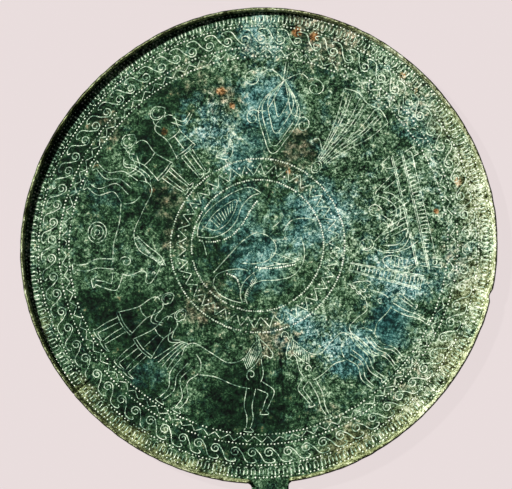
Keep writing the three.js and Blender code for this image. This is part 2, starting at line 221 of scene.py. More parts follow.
def banqueter(length):
    """Someone who lies on a couch with a striped mattress and leans on a cushion."""
    lines = [
        *([(0, v), (length, v)] for v in (9.2, 8.6, 5.2, 4.6)),
        *hatch([(0.8, 5.4), (0.8, 8.4)], [(length - 0.8, 5.4), (length - 0.8, 8.4)], 32),
        smooth([(0.5, 9.4), (-2.2, 13), (-1.6, 19), (1.6, 21.5), (3.4, 18.5), (2.4, 13), (3.6, 9.4)]),
        smooth([(1, 10.5), (-0.6, 14), (0, 18.5), (1.6, 19.5)]),
        *hatch([(-1.4, 13), (2.2, 13)], [(-0.6, 18.6), (3, 18.6)], 5),
        arc((7.4, 27.6), 2.5, 40, 320), arc((7.4, 27.6), 1.7, 70, 290), arc((6.2, 28.6), 0.7, 0, 300),
        smooth([(9.2, 29.4), (10, 28.3), (10.6, 27.4), (9.8, 27), (9.6, 25.9), (8.4, 25.3)]),
        smooth([(6.4, 25), (5, 23.4), (4.4, 19), (6, 13.5), (8.6, 9.4)]),
        smooth([(8.6, 25), (11.5, 22.5), (15, 18.5), (20, 15.4), (24.5, 17.5), (28, 20.6), (30.4, 16),
                (32.6, 9.4)]),
        smooth([(9.6, 13.5), (14, 12.6), (20, 12.4), (25.5, 15), (27.8, 17.8), (29, 14), (30.4, 9.4)]),
        smooth([(11.5, 22), (13.4, 17.4), (17, 14.6), (21.5, 14)]),
        *hatch([(9.5, 21), (13, 12.8)], [(24, 16.5), (25.5, 10)], 7),
        *limb([(10.4, 22), (14.8, 18.6), (19.6, 21.6)], [2.2, 1.8, 1.1]),
        *limb([(6, 21.5), (7, 15.5), (12, 12)], [2.2, 1.8, 1.3]),
        smooth([(19.2, 22.4), (20.6, 24.4), (23.4, 24.6), (24.2, 22.2), (21.6, 20.4), (19.4, 21)]),
        smooth([(33, 9.4), (34.6, 13), (36.6, 13.4), (37.4, 9.4)]),
        [(2, 2.2), (length - 2, 2.2)],
    ]
    for u in (1, length - 3.5):
        lines += [[(u, 4.5), (u, 0.3)], [(u + 2.4, 4.5), (u + 2.4, 0.3)],
                  arc((u + 1.2, 3.2), 0.7, 0, 360), smooth([(u, 0.3), (u + 1.2, 1), (u + 2.4, 0.3)])]
    return lines


def plant(width, height):
    """A bud of nested leaves on a stem, between two pairs of volutes."""
    root = 0.2 * height
    lines = [[(-0.4, 0), (-0.4, root)], [(0.4, 0), (0.4, root)]]
    for half, top in ((0.09, 0.6), (0.16, 0.78), (0.23, 0.92), (0.28, 1)):
        belly = (half * width, 0.45 * top * height + 3)
        shoulder = (0.5 * half * width, 0.9 * top * height)
        lines.append(smooth([(0, root), (-belly[0], belly[1]), (-shoulder[0], shoulder[1]), (0, top * height),
                             shoulder, belly, (0, root)]))
    for side in (-1, 1):
        for u, v, radius in ((0.34, 0.2, 0.12), (0.36, 0.62, 0.11)):
            volute = arc((u * width, v * height), radius * width, -150, 330, 0.2 * radius * width)
            lines.append(volute * (side, 1))
            lines.append(smooth([(0, root), (0.15 * width, (v - 0.1) * height),
                                 ((u - 0.8 * radius) * width, (v - 0.07) * height)]) * (side, 1))
    return lines


def bird(length):
    """A long-necked water bird that swims to the right, from its tail at 0 to its beak."""
    def at(*points):
        return [(u * length, v * length) for u, v in points]

    return [
        smooth(at((0, 0.25), (0.16, 0.36), (0.36, 0.38), (0.54, 0.34), (0.65, 0.42), (0.66, 0.6), (0.7, 0.75),
                  (0.8, 0.79), (0.88, 0.73), (1, 0.64))),
        smooth(at((0, 0.25), (0.16, 0.16), (0.38, 0.07), (0.6, 0.11), (0.76, 0.28), (0.78, 0.48), (0.75, 0.6),
                  (0.79, 0.67), (0.86, 0.66), (1, 0.64))),
        smooth(at((0.86, 0.7), (0.93, 0.675), (1, 0.64))),
        arc(at((0.8, 0.73))[0], 0.016 * length, 0, 330),
        smooth(at((0.52, 0.3), (0.4, 0.33), (0.2, 0.31), (0.04, 0.25), (0.22, 0.19), (0.44, 0.19),
                  (0.54, 0.24))),
        *hatch(at((0.14, 0.28), (0.1, 0.24)), at((0.46, 0.31), (0.42, 0.2)), 8),
        *hatch(at((0.66, 0.38), (0.75, 0.34)), at((0.67, 0.58), (0.76, 0.54)), 8),
        smooth(at((0.34, 0.08), (0.33, -0.02), (0.42, -0.05), (0.36, -0.01))),
        smooth(at((0.46, 0.07), (0.46, -0.03), (0.55, -0.06), (0.49, -0.02))),
    ]


# ---- The drawing on the disc ---------------------------------------------------------------------
# From the rim inwards: a row of tongues, running scrolls, a zigzag, the frieze with its figures standing on
# the outer border, a second zigzag ring, and two water birds in the medallion. It was all cut freehand.

TONGUES = {"count": 180, "outer": 82, "inner": 79.2, "half": 0.7, "width": 0.56}
SCROLLS = {"count": 72, "top": 76.6, "size": 0.93, "flat": 0.9, "width": 0.35}
OUTER_ZIGZAG = {"count": 92, "outer": 70, "inner": 68.1}
INNER_ZIGZAG = {"count": 36, "outer": 29.3, "inner": 25.4}
FRIEZE_GROUND = 66.2
FRIEZE_MIDDLE = 51
FRIEZE_HEIGHT = 34

strokes = []


def engrave(line, width=PLAIN):
    """Keeps a line of points on the true disc, in millimetres, to be cut with a burin of this width."""
    strokes.append((np.array(line, dtype=float), width))


def polar(radius, angle):
    return radius * np.cos(angle), radius * np.sin(angle)


def round_disc(line, ground, middle, degrees, head_out=False):
    """Wraps a drawing round the disc, its ground at one radius and its u true at another."""
    u, v = np.array(line, dtype=float).T
    if head_out:
        u, v = -u, FRIEZE_HEIGHT - v
    return np.column_stack(polar(ground - v, math.radians(degrees) + u / middle))


hand = random.Random(7)

for i in range(TONGUES["count"]):
    turn = 2 * math.pi * (i + hand.uniform(-0.08, 0.08)) / TONGUES["count"]
    half = TONGUES["half"] / TONGUES["outer"]
    outer, inner = (TONGUES[end] + hand.uniform(-0.15, 0.15) for end in ("outer", "inner"))
    middle = (outer + inner) / 2
    left, right = turn - half, turn + half
    engrave([polar(outer, left), polar(middle, left), polar(inner + 0.6, left)], TONGUES["width"])
    engrave([polar(inner + 0.7, left), polar(inner, turn - 0.4 * half), polar(inner, turn + 0.4 * half),
             polar(inner + 0.6, right)], FINE)
    engrave([polar(outer - 0.3, right), polar(middle, right), polar(inner + 0.6, right)], BOLD)

for i in range(SCROLLS["count"]):
    wave = np.vstack([
        smooth([(-1.1, 0.85), (-2.1, -0.1), (-1.2, -0.9), (0.25, -1), (1.6, -0.55), (2.45, 0.6), (3.3, 2.45),
                (4.65, 4.2)])[:-1],
        arc((6.45, 3.35), 1.98, 155, -70, 1.6)[1:],
        arc((6.4, 3.35), 1.6, -70, -400, 0.35)[1:],
    ])
    size = SCROLLS["size"] * hand.uniform(0.96, 1.04)
    degrees = 360 * (i + hand.uniform(-0.05, 0.05)) / SCROLLS["count"]
    wave = wave * (-size, size * SCROLLS["flat"])
    engrave(round_disc(wave, SCROLLS["top"], SCROLLS["top"], degrees), SCROLLS["width"])

for band in (OUTER_ZIGZAG, INNER_ZIGZAG):
    corners = []
    for i in range(2 * band["count"] + 1):
        radius = (band["outer"] if i % 2 else band["inner"]) + hand.uniform(-0.2, 0.2)
        corners.append(polar(radius, math.pi * (i + hand.uniform(-0.15, 0.15)) / band["count"]))
    for start, end in zip(corners, corners[1:]):
        middle = [(a + b) / 2 + hand.uniform(-0.08, 0.08) for a, b in zip(start, end)]
        engrave([start, middle, end])

FRIEZE = [
    (-212, False, animal(43, 31, "crest", rows=10)),
    (-152.8, False, person(31.5, 8.8, 10.4, 0)),
    (-141.2, False, person(31.5, 8.8, 10.4, 1)),
    (-127.5, False, animal(38, 33, "hatched", tail="bundle", rows=13)),
    (-48, False, [np.array(line) * (-1, 1) for line in animal(27, 31, "hatched", horns=True)]),
    (-45.5, False, animal(22, 30, "curls")),
    (-18.3, False, ladder(4.4, 6, 33, 20)),
    (-11, False, banqueter(37)),
    (49, False, robe(34, 16, 6)),
    (77.5, False, plant(28, 33)),
    (112, True, bird(13)),
    (124, True, person(31, 10, 11, 1)),
    (138, True, person(31, 10, 11, 0, arm=-1)),
]
for degrees, head_out, drawing in FRIEZE:
    for line in drawing:
        engrave(round_disc(line, FRIEZE_GROUND, FRIEZE_MIDDLE, degrees, head_out))
for radius in (3.3, 2.2, 0.9):
    engrave(round_disc(arc((21.5, 8.5), radius, 0, 350), FRIEZE_GROUND, FRIEZE_MIDDLE, -212))

# One bird lies along the upper left of the medallion with its wing folded, the other stretches its long neck
# over its back below.
MEDALLION = [
    (PLAIN, smooth([(-21.4, 4.4), (-20.6, 9), (-17.4, 13.6), (-12.4, 17.4), (-6.4, 20.2), (-1.4, 21),
                    (2.6, 18.6)])),
    (PLAIN, smooth([(-21.4, 4.4), (-16, 3.8), (-11, 5.6), (-7.2, 9.4), (-4.8, 14.4), (-1, 17.8),
                    (2.6, 18.6)])),
    (FINE, smooth([(-18.6, 7.6), (-15.4, 12.2), (-11, 15.4), (-6.6, 17), (-7.4, 13.4), (-10.4, 8.8),
                   (-14.6, 6.4), (-18.6, 7.6)])),
    (PLAIN, arc((-19.2, 6.6), 0.5, 0, 320)),
    (PLAIN, smooth([(-19.6, 3.2), (-18.8, 0.4), (-18.2, -2.6)])),
    (BOLD, smooth([(-16.4, -9), (-11, -3.6), (-5.4, 1.8), (-1.8, 4.2), (0.2, 4.6)])),
    (PLAIN, smooth([(0.2, 4.6), (3.4, 3.6), (6.2, 0.8), (6.4, -2.6), (3.6, -5.4), (-1.4, -6.4), (-6, -6)])),
    (PLAIN, smooth([(-16.6, -13), (-15.4, -10), (-11.8, -8.4), (-7, -8), (-3.8, -8.8)])),
    (PLAIN, smooth([(-16.6, -13), (-14.6, -16.6), (-10.6, -19), (-6.6, -20.2)])),
    (PLAIN, smooth([(-6.2, -20.4), (-7, -17), (-5.4, -12.8), (-1, -9.2), (3.4, -7.6), (8.4, -7)])),
    (PLAIN, smooth([(-4.6, -20.8), (-5.2, -17.6), (-3.4, -14.4), (0.6, -12.6), (6.6, -12.6), (12, -11.4),
                    (15.6, -7.6), (16.6, -2.6), (15.4, 3.4)])),
    (PLAIN, smooth([(5.2, -2.8), (8.4, -4), (13.6, -6.4)])),
    (PLAIN, smooth([(5.2, -2.8), (4.6, -5.4), (8.4, -7), (13.6, -6.4)])),
    (PLAIN, smooth([(9.4, 4.6), (12.6, 8.2), (17.4, 8.8), (20.6, 8)])),
    (FINE, smooth([(6, 6.2), (8.6, 8.2), (10, 10.4)])),
]
for width, line in MEDALLION:
    engrave(line, width)
for line in hatch([(-6.4, -19.6), (-5, -19.6)], [(-1.8, -9.8), (-0.8, -12.6)], 14):
    engrave(line, FINE)
for line in hatch([(-16.8, 10.6), (-13.6, 7.4)], [(-8, 16.4), (-8.4, 13)], 9):
    engrave(line, FINE)

# Rows of dots, struck with a round punch, part the borders and pick out contours in the medallion. Each ring
# has a radius, a number of dots, and how many steps round it begins. The second zigzag has one in each tooth.
DOT_RINGS = [(82.7, 366, 0), (78.3, 392, 0), (70.9, 356, 0), (67.4, 338, 0), (31, 222, 0), (28.4, 36, 0),
             (26.3, 36, 0.5), (23.5, 176, 0)]
DOTTED = [
    [(-20.4, 2.9), (-15.5, 2.2), (-9.5, 3.8), (-4.6, 8.4), (-1.6, 12.8), (0.8, 15.8)],
    [(-0.6, -7.8), (4, -8.4), (8.4, -8.2), (13, -7.4)],
    [(-6.8, -15), (-8, -11.4), (-11.2, -9.6)],
]
DOT_SPACING = 0.8
DOT_WANDER = 0.11

scatter = np.random.default_rng(11)


def on_disc(degrees, radius):
    angles = np.radians(degrees)
    return np.column_stack([radius * np.cos(angles), radius * np.sin(angles)])


dots = [on_disc(360 * (np.arange(count) + begin) / count, radius) for radius, count, begin in DOT_RINGS]
dots = np.vstack(dots + [smooth(line, step=DOT_SPACING) for line in DOTTED])
dots += scatter.uniform(-DOT_WANDER, DOT_WANDER, dots.shape)


# ---- The casting ---------------------------------------------------------------------------------
# Disc, raised rim and tang are one piece of tin bronze, cast flat and then hammered a little off round. The
# rim stands up round the engraved face and is left open over the root of the tang, which took a handle of
# bone or wood. The polished side is below. A crack runs in from the rim, and a flake is gone from the edge.

MM = 0.001
RADIUS = 85
FACE = 2.6
RIM_TOP = 5
REST_RADIUS = 58
EDGE_LIFT = 0.9
OUTLINE_WAVES = [(1, 1.01, -16), (2, 0.58, 76), (3, 0.35, -158), (4, 0.43, -3)]
HAMMER_FADE = 8
# A section through the rim, from its crest inwards to the face, and one down the outside of the edge. Both
# give how far in from the outline and how high. The tang has a plainer edge.
RIM_SECTION = [(0.42, 4.85), (0.55, 4.95), (0.7, RIM_TOP), (0.85, 4.93), (1, 4.7), (1.15, 4.3), (1.3, 3.8),
               (1.45, 3.3), (1.6, 2.95), (1.8, 2.7), (2, FACE)]
EDGE_SECTION = [(0.42, 4.85), (0.18, 4.5), (0, 4), (0, 2.4), (0.1, 1.8), (0.35, 1.25), (0.8, 0.92)]
TANG_SECTION = [(0.35, 2.58), (0.1, 2.45), (0, 2.25), (0, 1.7), (0.06, 1.4), (0.2, 1.15), (0.5, 1)]
TANG = {"half": 6.6, "tip_half": 3.2, "shoulder": -88, "end": cad_box[0].y / MM, "rim_slope": 1.4,
        "fillet": 1.6, "fillet_end": -86.4, "length": 46, "lift": 0.1, "root": -70}
CRACK = {"degrees": 215.7, "inner": 76.5, "mouth": 0.75, "end": 0.3, "lean": 1, "lip": 1.1, "waver": 0.12}
CHIP = {"degrees": 345, "profile": [(-2.3, 0), (-0.92, 0.72), (0, 0.9), (1.15, 0.45), (2.3, 0)], "reach": 3}

EDGE_WEAR = {"least": 0.08, "most": 0.24, "size": 2.6}
DENTS = [(16, 0.09), (3.1, 0.035)]
GROOVE_DEPTH = 0.55
GROOVE_TAPER = 0.4
PIT = {"radius": 0.46, "bed": 0.2, "depth": 0.2, "sides": 7}

# How finely each part is meshed, and how far the loose points of a face stay from its edge, the rim, a groove
# and a dot. Lines, the rings of the rim and dots (in degrees) stop short of the crack. A triangle is in the
# bed of a groove where its middle is at least the share BED_FROM of the way down.
EDGE_STEPS = 640
RIM_STEPS = 670
TANG_STEPS = 46
BED_STEP = 0.1
BED_FROM = 0.05
TIP_CLEAR = 2
FACE_MESH = {"spacing": 1.05, "jitter": 0.2, "edge": 0.9, "rim": 2.4, "groove": 0.45, "dot": 0.75}
UNDER_MESH = {"spacing": 3, "jitter": 0.1, "edge": 1.4, "rim": 2.5}
CRACK_CLEAR = {"end": 0.7, "line": 0.75, "ring": 0.6, "dot": 0.7}


def swell(points, size, height):
    """A gentle rise and fall over the plan, in waves of about this size."""
    return height * np.array([noise.noise(Vector((x / size, y / size, size))) for x, y in points])


def hammered(points):
    """Moves points of the true disc to the outline that hammering and wear left. The tang stays straight."""
    x, y = points.T
    angle, radius = np.arctan2(y, x), np.hypot(x, y)
    growth = sum(height * np.cos(order * angle - math.radians(phase))
                 for order, height, phase in OUTLINE_WAVES)
    growth *= np.clip((RADIUS + HAMMER_FADE - radius) / HAMMER_FADE, 0, 1) * radius / RADIUS
    on_edge = RADIUS * np.column_stack([np.cos(angle), np.sin(angle)])
    wear = 0.5 + swell(on_edge, EDGE_WEAR["size"], 0.9)
    wear = EDGE_WEAR["least"] + (EDGE_WEAR["most"] - EDGE_WEAR["least"]) * wear
    from_chip = RADIUS * ((angle - math.radians(CHIP["degrees"]) + math.pi) % (2 * math.pi) - math.pi)
    wear += np.interp(from_chip, *zip(*CHIP["profile"]))
    near_edge = np.clip((radius - RADIUS + CHIP["reach"]) / CHIP["reach"], 0, 1) * (radius < RADIUS + 0.1)
    return points * ((radius + growth - wear * near_edge) / np.maximum(radius, 1e-9))[:, None]


def rim_share(points):
    """1 where the rim stands, 0 over the root of the tang, with a slope between."""
    x, y = points.T
    share = np.clip((np.abs(x) - TANG["half"]) / TANG["rim_slope"], 0, 1)
    return np.where(y < 0, share * share * (3 - 2 * share), 1)


def face_height(points):
    rim = np.interp(RADIUS - np.hypot(*points.T), *zip(*RIM_SECTION)) - FACE
    dents = sum(swell(points, size, height) for size, height in DENTS)
    return np.minimum(FACE + rim * rim_share(points) + dents, RIM_TOP - 0.01)


def under_height(points):
    radius = np.hypot(*points.T)
    rise = np.clip((radius - REST_RADIUS) / (RADIUS - EDGE_SECTION[-1][0] - REST_RADIUS), 0, 1)
    return EDGE_LIFT * rise**1.3 + TANG["lift"] * np.clip((radius - RADIUS) / TANG["length"], 0, 1)


def tang_half(y):
    """Half the width of the tang at this height in plan."""
    tip = TANG["end"] + TANG["tip_half"]
    return np.interp(y, [tip, TANG["shoulder"]], [TANG["tip_half"], TANG["half"]])


def outline():
    """The outline from above, anticlockwise from the right of the tang, and what each point belongs to."""
    root = math.degrees(math.asin((TANG["half"] + TANG["fillet"]) / RADIUS))
    degrees = np.linspace(root - 90, 270 - root, EDGE_STEPS)
    round_from_crack = np.radians(degrees - CRACK["degrees"]) * RADIUS
    before, after = degrees[round_from_crack < -CRACK["lip"]], degrees[round_from_crack > CRACK["lip"]]
    mouth = math.degrees(CRACK["mouth"] / 2 / RADIUS)
    around = [CRACK["degrees"] - mouth, CRACK["degrees"] + mouth]
    reach = np.linspace(RADIUS - CRACK["lip"], CRACK["inner"], 9)
    gap = np.interp(reach, [CRACK["inner"], RADIUS], [CRACK["end"] / 2, CRACK["mouth"] / 2]) / reach
    waver = scatter.uniform(-CRACK["waver"], CRACK["waver"], len(reach)) / reach
    slit = [on_disc(CRACK["degrees"] + np.degrees(waver - gap), reach),
            on_disc(CRACK["degrees"] + np.degrees(waver + gap), reach)[::-1]]
    # The rim runs into the tang in a small curve on each side.
    leaves = on_disc([270 - root], RADIUS)[0]
    corner = np.array((-TANG["half"], -math.sqrt(RADIUS**2 - TANG["half"] ** 2)))
    meets = np.array((-TANG["half"], TANG["fillet_end"]))
    t = np.linspace(0, 1, 8)[1:-1, None]
    fillet = (1 - t) ** 2 * leaves + 2 * t * (1 - t) * corner + t**2 * meets
    y = np.linspace(TANG["fillet_end"], TANG["end"] + TANG["tip_half"], TANG_STEPS)[:, None]
    side = np.hstack([-tang_half(y), y])
    tip = arc((0, TANG["end"] + TANG["tip_half"]), TANG["tip_half"], 180, 270, step=0.5)[1:]
    left_half = np.vstack([fillet, side, tip])
    right_half = left_half[-2::-1] * (-1, 1)
    parts = [("disc", on_disc(before, RADIUS)), ("lip", on_disc(around[:1], RADIUS)), ("slit", slit[0]),
             ("slit", slit[1]), ("lip", on_disc(around[1:], RADIUS)), ("disc", on_disc(after, RADIUS)),
             ("tang", left_half), ("tang", right_half)]
    kinds = np.concatenate([[kind] * len(part) for kind, part in parts])
    return np.vstack([part for _, part in parts]), kinds


def edge_rows():
    """The rings of points down the outside, from the face to the underside: plan and height of each."""
    plan, kind = outline()
    radial = -plan / np.hypot(*plan.T)[:, None]
    along = np.roll(plan, -1, axis=0) - np.roll(plan, 1, axis=0)
    square = np.column_stack([-along[:, 1], along[:, 0]]) / np.linalg.norm(along, axis=1)[:, None]
    inward = np.where((kind == "tang")[:, None], square, radial) * (kind != "slit")[:, None]
    rim = rim_share(plan) * (kind != "tang")
    rows = []
    for k, ((disc_in, disc_z), (tang_in, tang_z)) in enumerate(zip(EDGE_SECTION, TANG_SECTION)):
        inset = rim * disc_in + (1 - rim) * tang_in
        at = plan + inward * inset[:, None]
        height = rim * disc_z + (1 - rim) * tang_z
        down = k / (len(EDGE_SECTION) - 1)
        height = np.where(kind == "slit", (1 - down) * face_height(plan) + down * under_height(plan), height)
        # The crack goes down through the plate at a slant.
        lean = np.isin(kind, ("slit", "lip")) * CRACK["lean"] * down
        at = at + np.column_stack([-plan[:, 1], plan[:, 0]]) * (lean / np.hypot(*plan.T))[:, None]
        rows.append((at, height))
    return rows


def grid(fit):
    """Loose points in staggered rows over the disc and the tang, as far inside as fit says."""
    rows = []
    for j, y in enumerate(np.arange(TANG["end"], RADIUS, fit["spacing"] * 0.87)):
        x = np.arange(-RADIUS, RADIUS, fit["spacing"]) + (j % 2) * fit["spacing"] / 2
        rows.append(np.column_stack([x, np.full(len(x), y)]))
    points = np.vstack(rows)
    points += scatter.uniform(-fit["jitter"], fit["jitter"], points.shape) * fit["spacing"]
    x, y = points.T
    on_tang = (y < TANG["root"]) & (y > TANG["end"] + TIP_CLEAR + fit["edge"])
    on_tang &= np.abs(x) < tang_half(y) - fit["edge"]
    return points[(np.hypot(x, y) < RADIUS - fit["rim"]) | on_tang]


def from_crack(points):
    """How many degrees round the disc each point is from the crack."""
    angle = np.degrees(np.arctan2(points[:, 1], points[:, 0]))
    return np.abs((angle - CRACK["degrees"] + 180) % 360 - 180)


def off_crack(line):
    """The stretches of a line that keep clear of the crack."""
    radius = np.hypot(*line.T)
    beside = np.radians(from_crack(line)) * radius < CRACK_CLEAR["line"]
    near = (radius > CRACK["inner"] - CRACK_CLEAR["end"]) & beside
    runs = np.split(np.arange(len(line)), np.flatnonzero(np.diff(near)) + 1)
    return [line[run] for run in runs if not near[run[0]] and len(run) > 1]


def cut(loop, chains, spare):
    """Triangles over the inside of the loop, with the chains as edges. Gives points, triangles and loop."""
    points, edges = [*map(Vector, loop)], []
    for chain in chains:
        first = len(points)
        points += map(Vector, chain)
        edges += [(i, i + 1) for i in range(first, len(points) - 1)]
    points += map(Vector, spare)
    ring = list(range(len(loop)))
    at, _, triangles, sources, _, owners = delaunay_2d_cdt(points, edges, [ring], 0, 1e-6, True)
    became = {source: i for i, found in enumerate(sources) for source in found if source < len(loop)}
    inner = [triangle for triangle, owner in zip(triangles, owners) if owner]
    return np.array(at), np.array(inner), [became[i] for i in ring]


rows = edge_rows()
face_plan, under_plan = rows[0][0], rows[-1][0]

# Each engraved line is a left bank, a bed and a right bank, which meet in a point at its two ends.
chains, bed = [], []
for stroke, width in strokes:
    for line in off_crack(stroke):
        steps = np.linalg.norm(np.diff(line, axis=0), axis=1)
        along = np.concatenate([[0], np.cumsum(steps)])
        between = along[(along > 1.5 * GROOVE_TAPER) & (along < along[-1] - 1.5 * GROOVE_TAPER)]
        length = np.concatenate([[0, GROOVE_TAPER], between, [along[-1] - GROOVE_TAPER, along[-1]]])
        if along[-1] < 3 * GROOVE_TAPER:
            length = along[-1] * np.array([0, 0.3, 0.7, 1])
        line = np.column_stack([np.interp(length, along, line[:, 0]), np.interp(length, along, line[:, 1])])
        half = width / 2 * np.clip(np.minimum(length, length[-1] - length) / (0.9 * GROOVE_TAPER), 0, 1)
        half[0] = half[-1] = 0
        along = np.gradient(line, axis=0)
        along /= np.maximum(np.linalg.norm(along, axis=1), 1e-9)[:, None]
        across = np.column_stack([-along[:, 1], along[:, 0]]) * half[:, None]
        chains += [line, line + across, line - across]
        fine = np.linspace(0, length[-1], max(3, int(length[-1] / BED_STEP)))
        bed.append(np.column_stack([np.interp(fine, length, line[:, 0]), np.interp(fine, length, line[:, 1]),
                                    np.interp(fine, length, half)]))
bed = np.vstack(bed)
nearest_bed = kdtree.KDTree(len(bed))
for i, (x, y, _) in enumerate(bed):
    nearest_bed.insert((x, y, 0), i)
nearest_bed.balance()


def groove_share(points):
    """How deep in an engraved line each point lies: 0 on the face, 1 in the bed, and under 0 beside it."""
    share = []
    for x, y in points:
        _, i, distance = nearest_bed.find((x, y, 0))
        half = bed[i][2]
        share.append(1 - distance / half if half > 0.01 else min(0, 0.01 - distance))
    return np.array(share)


dots = dots[from_crack(dots) > CRACK_CLEAR["dot"]]
pit_rim, pit_bed = [], []
for degrees in np.arange(PIT["sides"]) * 360 / PIT["sides"]:
    pit_rim.append(dots + on_disc([degrees], PIT["radius"]))
    pit_bed.append(dots + on_disc([degrees], PIT["bed"]))
pits = np.vstack(pit_rim + pit_bed)
nearest_dot = kdtree.KDTree(len(dots))
for i, (x, y) in enumerate(dots):
    nearest_dot.insert((x, y, 0), i)
nearest_dot.balance()


def pit_depth(points):
    """How far the punch drove the face down at each point."""
    away = np.array([nearest_dot.find((x, y, 0))[2] for x, y in points])
    return PIT["depth"] * np.clip((PIT["radius"] - away) / (PIT["radius"] - PIT["bed"]), 0, 1)


spare = grid(FACE_MESH)
clear = np.array([nearest_bed.find((x, y, 0))[2] > FACE_MESH["groove"]
                  and nearest_dot.find((x, y, 0))[2] > FACE_MESH["dot"] for x, y in spare])
round_rim = np.linspace(-90, 270, RIM_STEPS + 1)[:-1]
rings = np.vstack([on_disc(round_rim, RADIUS - inset) for inset, _ in RIM_SECTION[1:]])
rings = rings[(np.abs(rings[:, 0]) > TANG["half"] - 0.4) | (rings[:, 1] > 0)]
rings = rings[np.radians(from_crack(rings)) * RADIUS > CRACK_CLEAR["ring"]]
face_points, face_triangles, face_ring = cut(face_plan, chains, np.vstack([spare[clear], rings, pits]))
in_groove = groove_share(face_points)
groove_half = np.array([bed[nearest_bed.find((x, y, 0))[1]][2] for x, y in face_points])
face_z = face_height(face_points) - 2 * GROOVE_DEPTH * groove_half * np.clip(in_groove, 0, 1)
face_z -= pit_depth(face_points)
face_z[face_ring] = rows[0][1]

under_points, under_triangles, under_ring = cut(under_plan, [], grid(UNDER_MESH))
under_z = under_height(under_points)
under_z[under_ring] = rows[-1][1]

levels = [np.array(face_ring)]
places = [np.column_stack([hammered(face_points), face_z])]
count = len(face_points)
for at, height in rows[1:-1]:
    places.append(np.column_stack([hammered(at), height]))
    levels.append(count + np.arange(len(at)))
    count += len(at)
places.append(np.column_stack([hammered(under_points), under_z]))
levels.append(count + np.array(under_ring))
triangles = [face_triangles, count + under_triangles[:, ::-1]]
for upper, lower in zip(levels, levels[1:]):
    after_upper, after_lower = np.roll(upper, -1), np.roll(lower, -1)
    triangles.append(np.column_stack([upper, lower, after_lower]))
    triangles.append(np.column_stack([upper, after_lower, after_upper]))
in_bed = groove_share(face_points[face_triangles].mean(axis=1)) > BED_FROM

used, corners = np.unique(np.vstack(triangles), return_inverse=True)
mesh = bpy.data.meshes.new("mirror_casting")
mesh.from_pydata(np.vstack(places)[used] * MM, [], corners.reshape(-1, 3))
is_bed = np.zeros(len(mesh.polygons), dtype=np.int32)
is_bed[: len(in_bed)] = in_bed
mesh.polygons.foreach_set("material_index", is_bed)
mesh.shade_smooth()
# The light breaks along the banks of each groove.
corner_edge = np.zeros(len(mesh.loops), dtype=np.int32)
mesh.loops.foreach_get("edge_index", corner_edge)
beside = np.zeros(len(mesh.edges), dtype=np.int32)
np.add.at(beside, corner_edge, np.repeat(is_bed, 3))
sharp = mesh.attributes.new("sharp_edge", "BOOLEAN", "EDGE")
sharp.data.foreach_set("value", beside == 1)
casting = bpy.data.objects.new("mirror_casting", mesh)
bpy.context.scene.collection.objects.link(casting)

# Patina. Bronze that lay in the ground grows a skin of copper salts: black-green where it is dense, blue
# where azurite and malachite stand on it, brown where cuprite shows. Cleaning left it matt, with bright
# mineral grain. Patches give where each lies, as x, y, reach in millimetres and strength.
DARK_PATCHES = [(-6, -59, 24, 1), (-44, -28, 22, 0.9), (-60, -22, 16, 0.8), (-27, 54, 13, 0.7),
                (-35, 38, 13, 0.7), (-17, 1, 14, 0.5), (47, -29, 11, 0.7), (-47, -55, 18, 0.8),
                (17, 35, 10, 0.7), (-4, -17, 9, 0.5), (-31, 16, 16, 0.5), (-12, 10, 13, 0.5),
                (-66, 48, 24, 0.8), (-22, -66, 16, 0.8), (-44, 20, 14, 0.5), (30, -44, 9, 0.6)]
BLUE_PATCHES = [(8, 50, 17, 0.8), (22, 9, 20, 0.8), (-1, -5, 18, 0.7), (31, -39, 15, 1),
                (15, -31, 12, 0.8), (51, -15, 20, 0.7), (-15, 44, 14, 0.6), (-39, -43, 12, 0.3),
                (46, -29, 14, 0.9), (-4, 35, 14, 0.6), (-8, 12, 16, 0.6), (4, 74, 14, 0.6),
                (60, 38, 12, 0.5), (72, -14, 12, 0.5), (-56, 22, 12, 0.3)]
BROWN_PATCHES = [(3, -34, 14, 0.9), (30, -72, 14, 0.8), (53, -51, 16, 0.5), (1, 68, 12, 0.5),
                 (-8, 53, 12, 0.7), (17, 35, 11, 0.8), (71, -9, 14, 0.6), (-30, 18, 14, 0.6),
                 (30, 78, 26, 0.9), (-20, 60, 16, 0.5), (60, 52, 16, 0.6), (-20, -22, 14, 0.8),
                 (-28, 4, 10, 0.7), (14, 29, 12, 0.7), (-52, 46, 12, 0.6), (22, -60, 10, 0.6),
                 (-34, -77, 10, 0.5)]
PALE_PATCHES = [(88, 8, 50, 1), (72, -56, 42, 0.8), (58, 60, 36, 0.7), (40, 8, 34, 0.6), (10, 72, 26, 0.5),
                (-84, 4, 24, 0.3), (24, -36, 22, 0.7), (52, -14, 20, 0.7), (34, 36, 26, 0.6),
                (-13, 45, 15, 0.8)]
CRUST_PATCHES = [(84, 10, 16, 0.8), (82, -20, 18, 0.9), (70, -46, 17, 0.9), (52, -66, 16, 0.9),
                 (30, -78, 15, 0.9), (-50, -68, 10, 1), (-60, -60, 9, 0.9), (-41, -74, 9, 0.9),
                 (-68, -51, 9, 0.8), (-31, -79, 9, 0.8), (-20, -83, 8, 0.6), (72, 42, 14, 0.5),
                 (80, 24, 14, 0.7), (-80, -24, 9, 0.4)]
COPPER_SPOTS = [(24.6, 73.6, 2.6, 1), (18.2, 75.6, 2.8, 1), (73.2, 19, 2.4, 0.8), (64.6, 8.8, 1.5, 1),
                (-9.8, 55.6, 2.6, 0.8), (-6.2, 50.4, 2, 0.7), (59.6, 52, 2.4, 0.6), (-31, 42.4, 2, 0.6),
                (70.6, -9.4, 2.2, 0.5), (12.4, 26, 1.8, 0.7), (55, 58, 2.2, 0.7), (-36.4, 21.4, 1.8, 0.5)]
